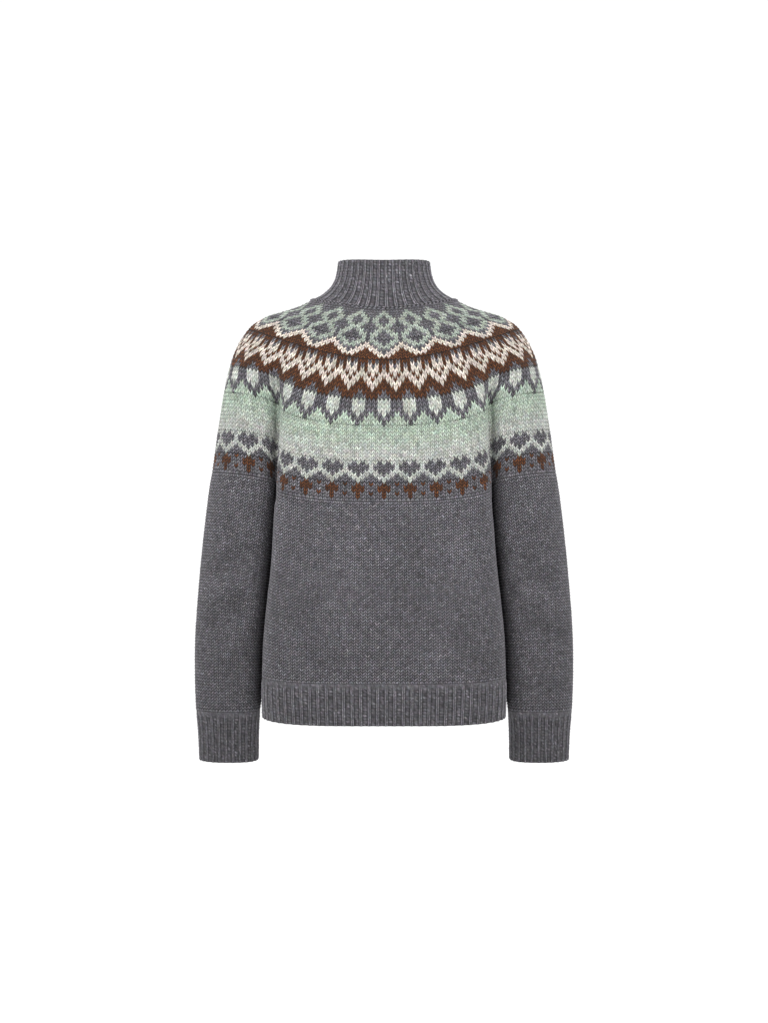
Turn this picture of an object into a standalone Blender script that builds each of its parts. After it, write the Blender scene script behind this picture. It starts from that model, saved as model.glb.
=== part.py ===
"""A circular-yoke sweater in chunky wool, filled out as when it is worn.

Every piece that is knitted and linked on is an object of its own: roll collar, yoke, back and
front, two sleeves, two hem bands and two cuffs. Each is a wall of cloth round an open hollow.
The origin is the middle of the neck's base. +Z is up, the back faces -Y and +X is the wearer's
right. The tables are in millimetres and the meshes in metres.
"""

from collections import namedtuple

import bmesh
import bpy
import numpy as np

MM = 0.001
WALL = 3.0  # thickness of the knitted cloth
SEAM = 0.3  # gap between pieces that are linked together
UPRIGHT_EDGE = 2.0  # height of the upright strip along a seam, so that the walls meet squarely
DENSE = 400  # points on a section before it is divided evenly
SAME_SHARE = 1e-6  # two shares closer than this are one place

# Lengths down the middle of the back, from one seam to the next
COLLAR_LENGTH = 65.0
YOKE_LENGTH = 290.0
BODY_LENGTH = 246.0
SLEEVE_LENGTH = 325.0

# Ribs, in counts round a whole piece and heights over the plain surface
COLLAR_RIBS = 40
HEM_RIBS = 44  # on each of the two bands
CUFF_RIBS = 26
RIB_VALLEY = -1.2
RIB_CREST = 0.9
RIB_PROFILE = (RIB_VALLEY, RIB_CREST, RIB_CREST, RIB_VALLEY)
OUTER_PER_RIB = len(RIB_PROFILE)
INNER_PER_RIB = 2

# How a quarter of a yoke ring divides between body and sleeve, and how its level rises
FOLD_SHARE = 0.59  # from the middle of the back to the fold in front of the sleeve
OPEN_POWER = 2.2
OPEN_RISE_POWER = 1.7
FOLD_RISE_POWER = 2.2
FOLD_RISE_BALANCE = 1.24
BODY_TOP_POWER = 7.0
BODY_TOP_HALF_WIDTH = 148.8
FOLD_GAP = 0.4  # between the body's side and the sleeve's
SLEEVE_TOP_INNER_X = BODY_TOP_HALF_WIDTH + FOLD_GAP
SLEEVE_TOP_DEPTH = 62.0
SLEEVE_TOP_INNER_POWER = 4.0
SLEEVE_OUTER_POWER = 2.1
UNDERARM_Z = -262.0
FOLD_CLEARANCE = 0.5  # further gap under the bottom of the fold, where three pieces meet

HEM_TOP_Z = -529.0
HEM_HEIGHT = 57.0
HEM_SIDE_RISE = 5.0
HEM_RISE_POWER = 4.0
CUFF_TOP_Z = -576.5
CUFF_HEIGHT = 71.0

# Columns of points on a quarter ring, closer together towards the fold
BODY_COLUMNS = 9
SLEEVE_COLUMNS = 8
UNDERARM_COLUMNS = 3
CROWDING = 1.25
FOLD_STEP = 0.006  # half the bottom of the fold, between the body's cloth and the sleeve's
BODY_EDGE = FOLD_SHARE - FOLD_STEP
SLEEVE_EDGE = FOLD_SHARE + FOLD_STEP

RingRow = namedtuple("RingRow", "share side_x side_z back_y back_z front_y front_z")
YokeRow = namedtuple(
    "YokeRow", "share side_x side_z back_y back_z front_y front_z crease valley_y sleeve_y fold_x"
)
BodyRow = namedtuple("BodyRow", "share half_width back_y front_y power")
SleeveRow = namedtuple("SleeveRow", "share outer_x inner_x depth inner_power")

COLLAR_ROWS = (
    RingRow(0.00, 64.8, 57.5, 56.0, 52.5, 60.0, 50.0),
    RingRow(0.25, 67.0, 42.0, 55.5, 36.0, 60.5, 28.0),
    RingRow(0.50, 71.5, 28.0, 56.0, 19.0, 63.0, 5.0),
    RingRow(0.75, 81.0, 16.0, 58.0, 1.0, 68.0, -20.0),
    RingRow(0.90, 91.4, 8.5, 60.0, -9.0, 72.0, -35.5),
    RingRow(1.00, 103.0, 3.0, 62.0, -15.0, 75.0, -45.0),
)

YOKE_ROWS = (
    YokeRow(0.00, 103.0, 3.0, 62.0, -15.0, 75.0, -45.0, 0.00, 90.0, 108.0, 142.5),
    YokeRow(0.06, 119.0, -5.0, 74.3, -26.6, 84.3, -57.2, 0.00, 90.0, 108.0, 142.5),
    YokeRow(0.14, 141.5, -12.8, 88.4, -44.0, 93.9, -75.0, 0.00, 90.0, 107.0, 142.5),
    YokeRow(0.22, 166.6, -20.5, 98.4, -64.0, 100.7, -94.2, 0.00, 89.0, 105.0, 142.5),
    YokeRow(0.29, 186.5, -32.3, 103.5, -83.0, 105.2, -111.5, 0.00, 87.0, 103.0, 142.5),
    YokeRow(0.36, 200.5, -49.5, 106.6, -102.5, 108.2, -129.0, 0.08, 84.0, 100.0, 142.5),
    YokeRow(0.44, 211.6, -71.2, 108.1, -125.0, 110.5, -149.3, 0.34, 78.0, 95.0, 142.5),
    YokeRow(0.53, 219.7, -97.8, 109.0, -150.5, 111.8, -172.2, 0.76, 70.0, 87.0, 142.5),
    YokeRow(0.63, 226.2, -128.0, 109.0, -178.7, 112.0, -197.7, 0.95, 61.0, 78.0, 143.0),
    YokeRow(0.74, 232.0, -161.5, 108.9, -209.7, 111.7, -225.7, 0.99, 53.0, 70.0, 144.0),
    YokeRow(0.85, 237.2, -195.0, 108.5, -240.7, 111.0, -253.8, 1.00, 47.0, 65.0, 146.2),
    YokeRow(0.93, 240.5, -219.5, 108.3, -263.3, 110.5, -274.2, 1.00, 43.0, 62.8, 147.8),
    YokeRow(1.00, 243.5, -241.0, 108.0, -283.0, 110.0, -292.0, 1.00, 41.0, 62.0, 148.8),
)

BODY_ROWS = (
    BodyRow(0.00, BODY_TOP_HALF_WIDTH, 108.0, 110.0, BODY_TOP_POWER),
    BodyRow(0.07, 149.0, 108.0, 110.5, 6.9),
    BodyRow(0.20, 151.8, 108.5, 111.0, 6.6),
    BodyRow(0.40, 156.0, 109.5, 111.5, 6.2),
    BodyRow(0.62, 162.8, 111.0, 112.0, 5.8),
    BodyRow(0.82, 168.0, 112.0, 112.0, 5.3),
    BodyRow(1.00, 170.0, 112.0, 112.0, 5.0),
)

HEM_ROWS = (
    BodyRow(0.00, 170.0, 112.0, 112.0, 5.0),
    BodyRow(0.50, 170.4, 111.6, 111.6, 4.8),
    BodyRow(1.00, 169.6, 110.6, 110.6, 4.6),
)

SLEEVE_ROWS = (
    SleeveRow(0.00, 243.5, SLEEVE_TOP_INNER_X, SLEEVE_TOP_DEPTH, SLEEVE_TOP_INNER_POWER),
    SleeveRow(0.05, 246.6, 150.4, 62.0, 4.0),
    SleeveRow(0.15, 251.2, 152.6, 61.0, 4.0),
    SleeveRow(0.30, 257.0, 157.4, 59.0, 3.9),
    SleeveRow(0.50, 263.3, 164.0, 56.0, 3.8),
    SleeveRow(0.70, 267.8, 170.2, 51.0, 3.6),
    SleeveRow(0.85, 268.2, 172.6, 47.0, 3.4),
    SleeveRow(0.95, 267.4, 174.4, 43.5, 3.2),
    SleeveRow(1.00, 266.6, 176.0, 40.0, 3.0),
)

CUFF_ROWS = (
    SleeveRow(0.00, 266.6, 176.0, 40.0, 3.0),
    SleeveRow(0.18, 265.0, 177.2, 38.0, 2.9),
    SleeveRow(1.00, 261.6, 178.6, 36.0, 2.8),
)

HEATHER_GREY = (0.122, 0.117, 0.127)
RIB_GREY = (0.133, 0.127, 0.138)
PALE_MINT = (0.420, 0.480, 0.410)
WOOL_ROUGHNESS = 0.92


def read_row(rows, share):
    """A table's values at a share of the way down, on a smooth curve through its rows."""
    table = np.array(rows)
    stops = table[:, 0]
    slopes = np.gradient(table, stops, axis=0)
    k = int(np.clip(np.searchsorted(stops, share, side="right") - 1, 0, len(rows) - 2))
    step = stops[k + 1] - stops[k]
    t = (share - stops[k]) / step
    bend = 2 * t**3 - 3 * t**2
    values = (
        (bend + 1) * table[k]
        - bend * table[k + 1]
        + (t**3 - 2 * t**2 + t) * step * slopes[k]
        + (t**3 - t**2) * step * slopes[k + 1]
    )
    return type(rows[0])(*values)


def superellipse(half_x, half_y, power):
    """A quarter section from the middle of the back, (0, half_y), to the side, (half_x, 0)."""
    angle = np.linspace(0.0, np.pi / 2, DENSE)
    x = half_x * np.sin(angle) ** (2 / power)
    y = half_y * np.cos(angle) ** (2 / power)
    return np.stack((x, np.maximum(y, 0.0)), axis=1)


def lengths(points):
    """Distance gone at each point of a line."""
    steps = np.linalg.norm(np.diff(points, axis=0), axis=1)
    return np.concatenate(([0.0], np.cumsum(steps)))


def at_lengths(points, wanted):
    """Points at the wanted distances along a line."""
    gone = lengths(points)
    return np.stack([np.interp(wanted, gone, points[:, k]) for k in (0, 1)], axis=1)


def divided(points, shares):
    """Points at shares of a line's length."""
    return at_lengths(points, np.asarray(shares) * lengths(points)[-1])


def length_at_depth(points, depth):
    """Distance along a section, whose depth falls all the way, at which it has this depth."""
    return float(np.interp(-depth, -points[:, 1], lengths(points)))


def sleeve_half(row):
    """Half a sleeve's section, from its outer side over its face to its inner side."""
    middle, reach = (row.outer_x + row.inner_x) / 2, (row.outer_x - row.inner_x) / 2
    outer = superellipse(reach, row.depth, SLEEVE_OUTER_POWER)[::-1]
    inner = superellipse(reach, row.depth, row.inner_power)[1:]
    outer_line = np.stack((middle + outer[:, 0], outer[:, 1]), axis=1)
    inner_line = np.stack((middle - inner[:, 0], inner[:, 1]), axis=1)
    return np.concatenate((outer_line, inner_line))


def sleeve_length_to_fold(points, depth):
    """Distance along a sleeve's half section to where its inner side has this depth."""
    top = int(np.argmax(points[:, 1]))
    return lengths(points)[top] + length_at_depth(points[top:], depth)


def folded_quarter(row, depth, shares):
    """A quarter ring whose body and sleeve sections meet at the bottom of a fold."""
    body = superellipse(row.fold_x, depth, BODY_TOP_POWER)
    body_end = length_at_depth(body, row.valley_y)
    sleeve = sleeve_half(
        SleeveRow(0.0, row.side_x, row.fold_x + FOLD_GAP, row.sleeve_y, SLEEVE_TOP_INNER_POWER)
    )
    sleeve_end = sleeve_length_to_fold(sleeve, row.valley_y)
    line = np.concatenate(
        (
            at_lengths(body, np.linspace(0.0, body_end, DENSE)),
            at_lengths(sleeve, np.linspace(sleeve_end, 0.0, DENSE)),
        )
    )
    gone = lengths(line)
    ends = (0.0, gone[DENSE - 1], gone[DENSE], gone[-1])
    return at_lengths(line, np.interp(shares, (0.0, BODY_EDGE, SLEEVE_EDGE, 1.0), ends))


def fold_rise(shares):
    """How the ring's level climbs where the sleeve hangs beside the body, from 0 to 1."""
    near = shares**FOLD_RISE_POWER
    far = FOLD_RISE_BALANCE * (1 - shares) ** FOLD_RISE_POWER
    return near / (near + far)


def ring_quarter(row, front, shares):
    """Points (x, depth, z) on a quarter of a collar or yoke ring, from the middle to the side."""
    depth = row.front_y if front else row.back_y
    middle_z = row.front_z if front else row.back_z
    shares = np.asarray(shares)
    plan = divided(superellipse(row.side_x, depth, OPEN_POWER), shares)
    rise = np.minimum(plan[:, 0] / row.side_x, 1.0) ** OPEN_RISE_POWER
    crease = getattr(row, "crease", 0.0)
    if crease > 0:
        plan = (1 - crease) * plan + crease * folded_quarter(row, depth, shares)
        rise = (1 - crease) * rise + crease * fold_rise(shares)
    z = middle_z + (row.side_z - middle_z) * rise
    return np.column_stack((plan, z))


def whole_ring(quarter_of, shares):
    """A ring, anticlockwise from the middle of the back, out of four mirrored quarters.

    quarter_of(front, shares) gives points with x and depth both counted outwards.
    """
    back = quarter_of(False, shares)
    front = quarter_of(True, shares)[::-1]
    return np.concatenate(
        (
            (back * (1, -1, 1))[:-1],
            front[:-1],
            (front[::-1] * (-1, 1, 1))[:-1],
            (back[::-1] * (-1, -1, 1))[:-1],
        )
    )


def half_ring(quarter_of, front, shares):
    """Half a ring from one side seam over the back, or over the front, to the other."""
    quarter = quarter_of(front, shares)
    facing = 1 if front else -1
    near = quarter[::-1] * (facing, facing, 1)
    far = quarter * (-facing, facing, 1)
    return np.concatenate((near[:-1], far))


def yoke_shares():
    """Columns on a quarter of the yoke, closer together on both sides of the fold."""
    body = BODY_EDGE * (1 - (1 - np.arange(BODY_COLUMNS + 1) / BODY_COLUMNS) ** CROWDING)
    crowded = (np.arange(SLEEVE_COLUMNS + 1) / SLEEVE_COLUMNS) ** CROWDING
    sleeve = SLEEVE_EDGE + (1 - SLEEVE_EDGE) * crowded
    return np.concatenate((body, (FOLD_SHARE,), sleeve))


def yoke_base(front, shares):
    """The yoke's lowest ring, which the body and the sleeves continue."""
    return ring_quarter(YOKE_ROWS[-1], front, shares)


def top_edge_z(front, yoke_shares_met, shares, fold):
    """Level of a top edge that follows the yoke as far as the fold and then the underarm."""
    on_yoke = yoke_base(front, yoke_shares_met)[:, 2]
    fold_z = np.interp(fold, shares, on_yoke) - FOLD_CLEARANCE
    under = fold_z + (UNDERARM_Z - fold_z) * np.clip((shares - fold) / (1 - fold), 0.0, 1.0)
    return np.where(shares < fold - SAME_SHARE, on_yoke, under)


def body_fold_share(front):
    """Where the fold lies on a quarter of the body's highest section."""
    base = YOKE_ROWS[-1]
    depth = base.front_y if front else base.back_y
    section = superellipse(BODY_TOP_HALF_WIDTH, depth, BODY_TOP_POWER)
    return length_at_depth(section, base.valley_y) / lengths(section)[-1]


def body_top_z(front, shares):
    """Level of the body's top edge at shares of the way from its middle to the side seam."""
    fold = body_fold_share(front)
    return top_edge_z(front, BODY_EDGE * np.minimum(shares / fold, 1.0), shares, fold)


def hem_top_z(plan, half_width):
    """Level of the seam over the hem band, which rises towards the side seams."""
    return HEM_TOP_Z + HEM_SIDE_RISE * (plan[:, 0] / half_width) ** HEM_RISE_POWER


def body_quarter(share, front, shares):
    """Points on a quarter of the body at a share of the way from the yoke to the hem band."""
    row = read_row(BODY_ROWS, share)
    depth = row.front_y if front else row.back_y
    plan = divided(superellipse(row.half_width, depth, row.power), shares)
    bottom = hem_top_z(plan, row.half_width)
    return np.column_stack((plan, body_top_z(front, shares) * (1 - share) + bottom * share))


def hem_quarter(share, front, shares):
    """Points on a quarter of the hem band at a share of the way down it."""
    row = read_row(HEM_ROWS, share)
    depth = row.front_y if front else row.back_y
    plan = divided(superellipse(row.half_width, depth, row.power), shares)
    return np.column_stack((plan, hem_top_z(plan, row.half_width) - HEM_HEIGHT * share))


def body_shares(front):
    """Columns on a quarter of the body: the yoke's own, then those across the underarm."""
    fold = body_fold_share(front)
    above = yoke_shares()[:BODY_COLUMNS] * fold / BODY_EDGE
    under = fold + (1 - fold) * np.arange(UNDERARM_COLUMNS + 1) / UNDERARM_COLUMNS
    return np.concatenate((above, under))


def sleeve_fold_share():
    """Where the fold lies on half of the sleeve's highest section, from its outer side."""
    section = sleeve_half(SLEEVE_ROWS[0])
    return sleeve_length_to_fold(section, YOKE_ROWS[-1].valley_y) / lengths(section)[-1]


def sleeve_top_z(front, shares):
    """Level of a sleeve's top edge at shares of the way from its outer to its inner side."""
    fold = sleeve_fold_share()
    reached = 1 - (1 - SLEEVE_EDGE) * np.minimum(shares / fold, 1.0)
    return top_edge_z(front, reached, shares, fold)


def sleeve_side(share, front, shares):
    """Points on half a sleeve's ring at a share of the way from the yoke to the cuff."""
    plan = divided(sleeve_half(read_row(SLEEVE_ROWS, share)), shares)
    z = sleeve_top_z(front, shares) * (1 - share) + CUFF_TOP_Z * share
    return np.column_stack((plan, z))


def cuff_side(share, front, shares):
    """Points on half a cuff's ring at a share of the way down it."""
    plan = divided(sleeve_half(read_row(CUFF_ROWS, share)), shares)
    return np.column_stack((plan, np.full(len(plan), CUFF_TOP_Z - CUFF_HEIGHT * share)))


def sleeve_shares():
    """Columns on half a sleeve: the yoke's own, then those across the underarm."""
    fold = sleeve_fold_share()
    above = (1 - yoke_shares()[:-SLEEVE_COLUMNS - 1:-1]) * fold / (1 - SLEEVE_EDGE)
    under = fold + (1 - fold) * np.arange(UNDERARM_COLUMNS + 1) / UNDERARM_COLUMNS
    return np.concatenate((above, under))


def tube_ring(side_of, shares, hand):
    """A sleeve or cuff ring, anticlockwise. hand is 1 for the right one and -1 for the left."""
    front = side_of(True, shares)
    back = side_of(False, shares)[::-1] * (1, -1, 1)
    ring = np.concatenate((front[:-1], back[:-1]))
    return ring if hand > 0 else ring[::-1] * (-1, 1, 1)


def normals(grid, closed, upright):
    """Outward normal at each point of rows of points that run anticlockwise, top row first."""
    if closed:
        across = np.roll(grid, -1, axis=1) - np.roll(grid, 1, axis=1)
    else:
        across = np.gradient(grid, axis=1)
    down = np.gradient(grid, axis=0)
    out = np.cross(down, across)
    if upright:
        out[:, :, 2] = 0.0
    return out / np.linalg.norm(out, axis=2, keepdims=True)


def with_upright_edges(grid, top, bottom):
    """Rows of points with an upright strip added below the top edge and above the bottom one."""
    rows = list(grid)
    if bottom:
        rows.insert(-1, rows[-1] + (0, 0, UPRIGHT_EDGE))
    if top:
        rows.insert(1, rows[0] - (0, 0, UPRIGHT_EDGE))
    return np.array(rows)


def grid_faces(row_count, column_count, closed):
    """Quads between rows of points, facing outwards."""
    columns = column_count if closed else column_count - 1
    faces = []
    for r in range(row_count - 1):
        for c in range(columns):
            d = (c + 1) % column_count
            top, low = r * column_count, (r + 1) * column_count
            faces.append((top + c, low + c, low + d, top + d))
    return faces


def material(name, colour):
    """A dry woollen finish of one colour."""
    made = bpy.data.materials.new(name)
    made.use_nodes = True
    shader = made.node_tree.nodes["Principled BSDF"]
    shader.inputs["Base Color"].default_value = (*colour, 1.0)
    shader.inputs["Roughness"].default_value = WOOL_ROUGHNESS
    shader.inputs["Metallic"].default_value = 0.0
    return made


def place(name, mesh, colour, parent, collection):
    """An object for a piece, in its collection and under its parent."""
    piece = bpy.data.objects.new(name, mesh)
    piece.data.materials.append(material(f"wool_{name}", colour))
    piece.parent = parent
    collection.objects.link(piece)
    mesh.shade_smooth()
    return piece


def plain_piece(name, grid, closed, colour, parent, collection):
    """A wall of plain cloth: an open surface that is made solid inwards."""
    rows, columns = grid.shape[:2]
    mesh = bpy.data.meshes.new(name)
    mesh.from_pydata((grid.reshape(-1, 3) * MM).tolist(), [], grid_faces(rows, columns, closed))
    piece = place(name, mesh, colour, parent, collection)
    wall = piece.modifiers.new("wall", "SOLIDIFY")
    wall.thickness = WALL * MM
    wall.offset = -1.0
    return piece


def rim(outer, inner, closed):
    """Triangles between an outer edge and an inner edge that has fewer points."""
    ratio = len(outer) // len(inner) if closed else (len(outer) - 1) // (len(inner) - 1)
    half = ratio // 2
    faces = []
    for k in range(len(inner) if closed else len(inner) - 1):
        here, after = inner[k], inner[(k + 1) % len(inner)]
        for j in range(ratio):
            a = outer[k * ratio + j]
            b = outer[(k * ratio + j + 1) % len(outer)]
            faces.append((a, b, here if j < half else after))
        faces.append((outer[k * ratio + half], after, here))
    return faces


def ribbed_piece(name, fine, coarse, closed, upright, colour, parent, collection):
    """A wall with ribs raised in its outer points over a plain inside.

    fine holds the smooth surface at every outer column, and coarse at every inner one. The
    points of an upright piece move level, so that its edges meet other walls squarely.
    """
    columns = fine.shape[1]
    raised = np.resize(RIB_PROFILE, columns)[None, :, None]
    outer = fine + normals(fine, closed, upright) * raised
    inner = coarse - normals(coarse, closed, upright) * WALL
    rows, inner_columns = coarse.shape[:2]
    first = rows * columns
    points = np.concatenate((outer.reshape(-1, 3), inner.reshape(-1, 3)))
    faces = grid_faces(rows, columns, closed)
    faces += [
        tuple(first + v for v in face[::-1]) for face in grid_faces(rows, inner_columns, closed)
    ]
    for r in (0, rows - 1):
        outer_edge = list(range(r * columns, (r + 1) * columns))
        inner_edge = list(range(first + r * inner_columns, first + (r + 1) * inner_columns))
        faces += rim(outer_edge, inner_edge, closed)
    if not closed:
        for out_c, in_c in ((0, 0), (columns - 1, inner_columns - 1)):
            for r in range(rows - 1):
                a, b = r * columns + out_c, (r + 1) * columns + out_c
                c, d = first + r * inner_columns + in_c, first + (r + 1) * inner_columns + in_c
                faces.append((a, b, d, c))
    mesh = bpy.data.meshes.new(name)
    mesh.from_pydata((points * MM).tolist(), [], faces)
    edit = bmesh.new()
    edit.from_mesh(mesh)
    bmesh.ops.recalc_face_normals(edit, faces=edit.faces)
    edit.to_mesh(mesh)
    edit.free()
    return place(name, mesh, colour, parent, collection)


def even(count):
    """Even shares from 0 to 1 for a piece of this many columns on a quarter or half ring."""
    return np.arange(count + 1) / count


def seam_shares(rows, length, top, bottom):
    """A table's shares, with its first and last moved in by half a seam where one is."""
    shares = [row.share for row in rows]
    shares[0] += top * SEAM / 2 / length
    shares[-1] -= bottom * SEAM / 2 / length
    return shares


def make_collar(parent, collection):
    """The roll collar, which flares onto the shoulders."""
    levels = seam_shares(COLLAR_ROWS, COLLAR_LENGTH, 0, 1)
    grids = []
    for per_rib in (OUTER_PER_RIB, INNER_PER_RIB):
        shares = even(COLLAR_RIBS * per_rib // 4)
        grids.append(
            np.array(
                [
                    whole_ring(lambda f, s, r=read_row(COLLAR_ROWS, v): ring_quarter(r, f, s), shares)
                    for v in levels
                ]
            )
        )
    ribbed_piece("collar", *grids, True, False, RIB_GREY, parent, collection)


def make_yoke(parent, collection):
    """The round yoke, with a fold in front of and behind each sleeve."""
    levels = seam_shares(YOKE_ROWS, YOKE_LENGTH, 1, 1)
    shares = yoke_shares()
    grid = np.array(
        [
            whole_ring(lambda f, s, r=read_row(YOKE_ROWS, v): ring_quarter(r, f, s), shares)
            for v in levels
        ]
    )
    grid = with_upright_edges(grid, False, True)
    plain_piece("yoke", grid, True, PALE_MINT, parent, collection)


def with_side_seam(ring):
    """Half a ring with its ends moved in by half a seam, clear of the other half."""
    ring = ring.copy()
    for end, inward in ((0, 1), (-1, -2)):
        step = ring[inward] - ring[end]
        ring[end] += step * (SEAM / 2) / np.linalg.norm(step)
    return ring


def make_body(parent, collection):
    """The back and the front, each with its hem band."""
    levels = seam_shares(BODY_ROWS, BODY_LENGTH, 1, 1)
    hem_levels = seam_shares(HEM_ROWS, HEM_HEIGHT, 1, 0)
    for name, front in (("back", False), ("front", True)):
        shares = body_shares(front)
        grid = np.array(
            [
                with_side_seam(
                    half_ring(lambda f, s, share=v: body_quarter(share, f, s), front, shares)
                )
                for v in levels
            ]
        )
        grid = with_upright_edges(grid, True, True)
        plain_piece(f"body_{name}", grid, False, HEATHER_GREY, parent, collection)
        hems = []
        for per_rib in (OUTER_PER_RIB, INNER_PER_RIB):
            columns = even(HEM_RIBS * per_rib // 2)
            hems.append(
                np.array(
                    [
                        with_side_seam(
                            half_ring(lambda f, s, share=v: hem_quarter(share, f, s), front, columns)
                        )
                        for v in hem_levels
                    ]
                )
            )
        ribbed_piece(f"hem_{name}", *hems, False, True, RIB_GREY, parent, collection)


def make_sleeves(parent, collection):
    """Both sleeves, each with its cuff."""
    levels = seam_shares(SLEEVE_ROWS, SLEEVE_LENGTH, 1, 1)
    cuff_levels = seam_shares(CUFF_ROWS, CUFF_HEIGHT, 1, 0)
    for name, hand in (("right", 1), ("left", -1)):
        grid = np.array(
            [
                tube_ring(lambda f, s, share=v: sleeve_side(share, f, s), sleeve_shares(), hand)
                for v in levels
            ]
        )
        grid = with_upright_edges(grid, True, True)
        plain_piece(f"sleeve_{name}", grid, True, HEATHER_GREY, parent, collection)
        cuffs = []
        for per_rib in (OUTER_PER_RIB, INNER_PER_RIB):
            columns = even(CUFF_RIBS * per_rib // 2)
            cuffs.append(
                np.array(
                    [
                        tube_ring(lambda f, s, share=v: cuff_side(share, f, s), columns, hand)
                        for v in cuff_levels
                    ]
                )
            )
        ribbed_piece(f"cuff_{name}", *cuffs, True, True, RIB_GREY, parent, collection)


def main():
    """Clears the scene and makes the sweater."""
    for old in list(bpy.data.objects):
        bpy.data.objects.remove(old, do_unlink=True)
    collection = bpy.data.collections.new("sweater")
    bpy.context.scene.collection.children.link(collection)
    neck = bpy.data.objects.new("neck_base", None)
    collection.objects.link(neck)
    make_collar(neck, collection)
    make_yoke(neck, collection)
    make_body(neck, collection)
    make_sleeves(neck, collection)


main()
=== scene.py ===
"""The looks of a circular-yoke sweater in chunky wool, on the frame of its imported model.

Every knitted piece is a thin shell on the form of its solid. Its outside is a grid that follows
the stitches, two legs to a stitch, and a chart gives each stitch of the yoke its yarn. The back
faces -Y and +X is the wearer's right. Tables are in millimetres and meshes in metres.
"""

import logging
import math
from dataclasses import dataclass, field
from enum import Enum
from functools import partial
from typing import Callable, NamedTuple

import bpy
import numpy as np
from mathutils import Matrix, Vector


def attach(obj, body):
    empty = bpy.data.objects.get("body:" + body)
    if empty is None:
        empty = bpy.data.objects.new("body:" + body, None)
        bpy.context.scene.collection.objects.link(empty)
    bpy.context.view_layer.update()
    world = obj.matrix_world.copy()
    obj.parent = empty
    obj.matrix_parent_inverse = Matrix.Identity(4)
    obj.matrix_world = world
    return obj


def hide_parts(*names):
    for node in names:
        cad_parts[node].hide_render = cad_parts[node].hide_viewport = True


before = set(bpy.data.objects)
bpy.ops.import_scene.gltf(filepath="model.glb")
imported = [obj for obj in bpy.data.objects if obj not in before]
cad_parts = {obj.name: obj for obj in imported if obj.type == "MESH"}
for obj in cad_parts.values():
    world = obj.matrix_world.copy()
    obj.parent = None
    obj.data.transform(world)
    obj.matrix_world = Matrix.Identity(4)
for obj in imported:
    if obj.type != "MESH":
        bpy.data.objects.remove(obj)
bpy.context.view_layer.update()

LOG = logging.getLogger("sweater")
MM = 0.001
TINY = 1e-9
WALL = 3.0  # thickness of the cloth
DENSE = 900  # points on a section while it is worked out
QUARTER = np.linspace(0.0, 1.0, 301)  # places on a quarter section
HALF = np.linspace(0.0, 1.0, 401)  # places on half a section

# The solids' form: how a quarter of a ring divides between body and sleeve, and how it rises
FOLD_SHARE = 0.59
FOLD_STEP = 0.006
BODY_EDGE = FOLD_SHARE - FOLD_STEP
SLEEVE_EDGE = FOLD_SHARE + FOLD_STEP
OPEN_POWER = 2.2
OPEN_RISE_POWER = 1.7
FOLD_RISE_POWER = 2.2
FOLD_RISE_BALANCE = 1.24
# Places on a quarter of the collar or yoke, the fold's own among them
RING = np.unique(np.concatenate((QUARTER, (BODY_EDGE, FOLD_SHARE, SLEEVE_EDGE))))
BODY_TOP_POWER = 7.0
BODY_TOP_HALF_WIDTH = 148.8
FOLD_GAP = 0.4
SLEEVE_TOP_INNER_X = BODY_TOP_HALF_WIDTH + FOLD_GAP
SLEEVE_TOP_DEPTH = 62.0
SLEEVE_TOP_INNER_POWER = 4.0
SLEEVE_OUTER_POWER = 2.1
UNDERARM_Z = -262.0
HEM_TOP_Z = -529.0
HEM_HEIGHT = 57.0
HEM_SIDE_RISE = 5.0
HEM_RISE_POWER = 4.0
CUFF_TOP_Z = -576.5
CUFF_HEIGHT = 71.0


class RingRow(NamedTuple):
    """A level of the collar or yoke, by how far down it lies."""

    share: float
    side_x: float
    side_z: float
    back_y: float
    back_z: float
    front_y: float
    front_z: float
    crease: float = 0.0  # from 0, an open ring, to 1, body and sleeve that meet in a fold
    valley_y: float = 90.0  # depth at the bottom of the fold
    sleeve_y: float = 108.0  # half the sleeve's depth
    fold_x: float = 142.5  # half the body's width


class BodyRow(NamedTuple):
    """A level of the body or its hem band."""

    share: float
    half_width: float
    back_y: float
    front_y: float
    power: float


class SleeveRow(NamedTuple):
    """A level of a sleeve or cuff."""

    share: float
    outer_x: float
    inner_x: float
    depth: float
    inner_power: float


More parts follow.
